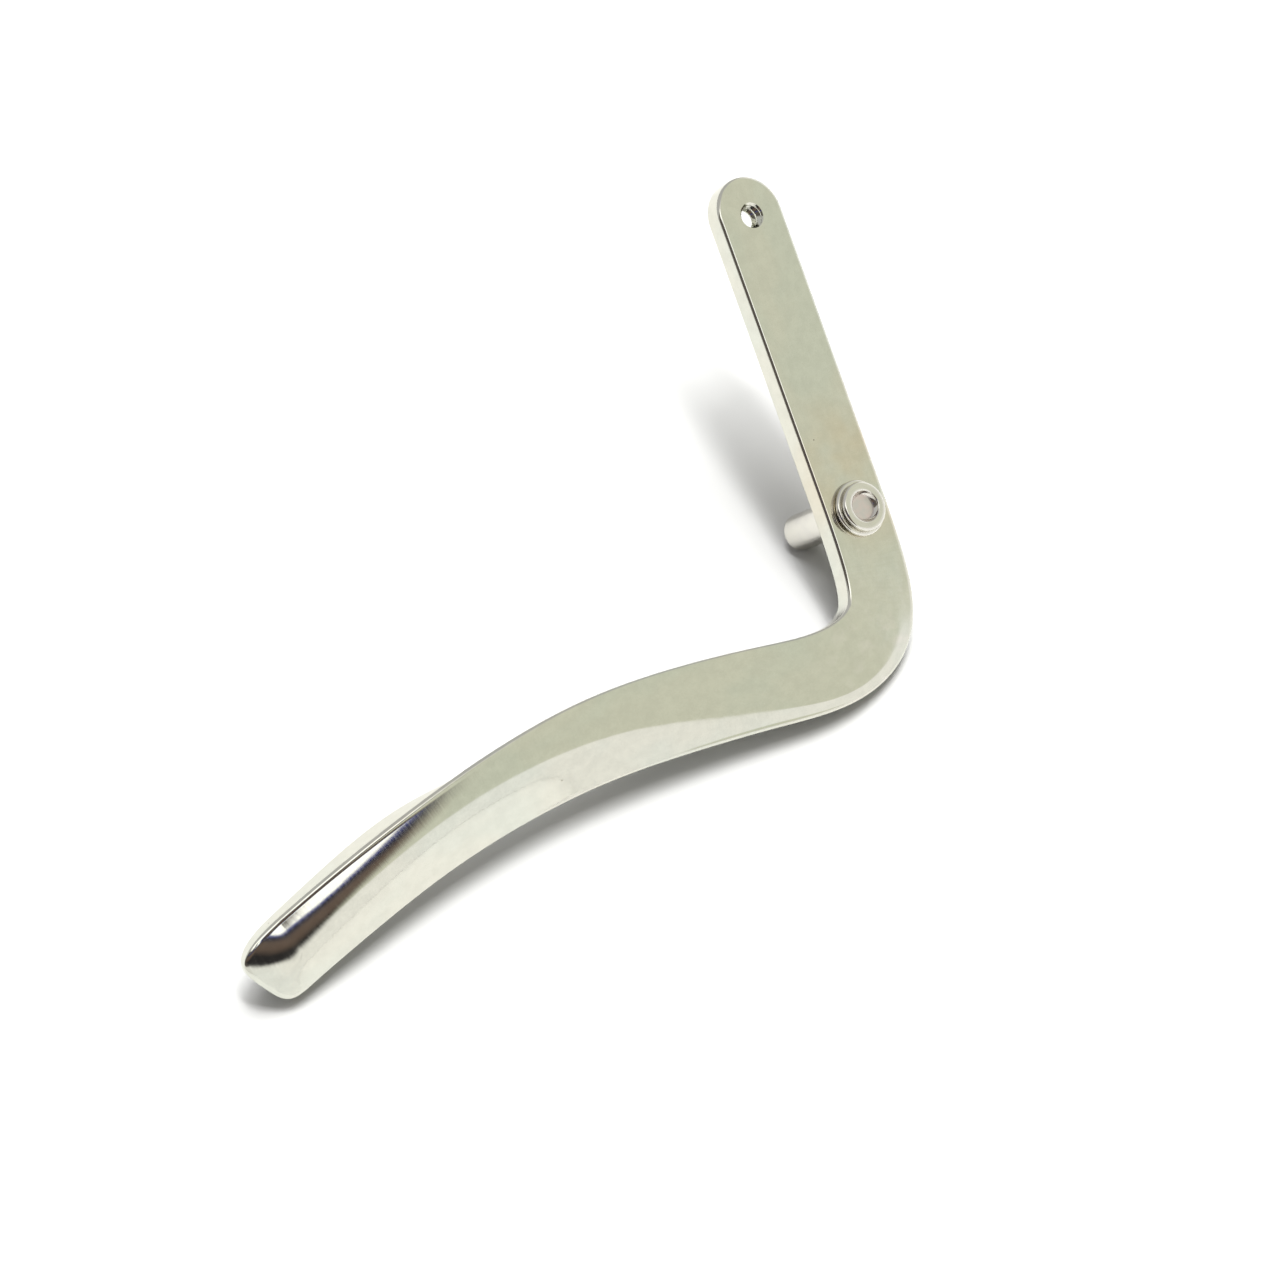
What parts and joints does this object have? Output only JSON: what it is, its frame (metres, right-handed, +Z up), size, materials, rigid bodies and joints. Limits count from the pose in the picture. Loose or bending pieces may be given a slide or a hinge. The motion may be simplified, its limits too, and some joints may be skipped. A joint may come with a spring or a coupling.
{
  "type": "casement window fastener lever",
  "caption": "Bright plated cranked operating lever for a casement window fastener, with a flat tapped arm, a twisted finger grip and a hollow-headed pivot pin that turns in it.",
  "frame": {"origin": "on the ground under the middle of the fastener's box, as it lies on a table", "axes": "+Z up from the table it lies on; the arm points up and 23.4 degrees to the left of +Y; the handle runs down towards -X -Y"},
  "size_m": [0.09, 0.1118, 0.0391],
  "materials": {
    "lever_nickel": "bright nickel plate, lightly brushed and worn",
    "pin_nickel": "bright nickel plate over a turned surface",
    "washer_nickel": "bright nickel plate"
  },
  "bodies": {
    "lever": {"lever": "lever_nickel"},
    "pin": {"pivot_pin": "pin_nickel", "pivot_washer": "washer_nickel"}
  },
  "joints": [
    {"name": "pivot", "type": "hinge", "parent": "lever", "child": "pin", "pos_m": [0.03714, 0.01567, 0.01321], "axis": [0.5144, -0.3112, 0.7991], "continuous": true}
  ]
}
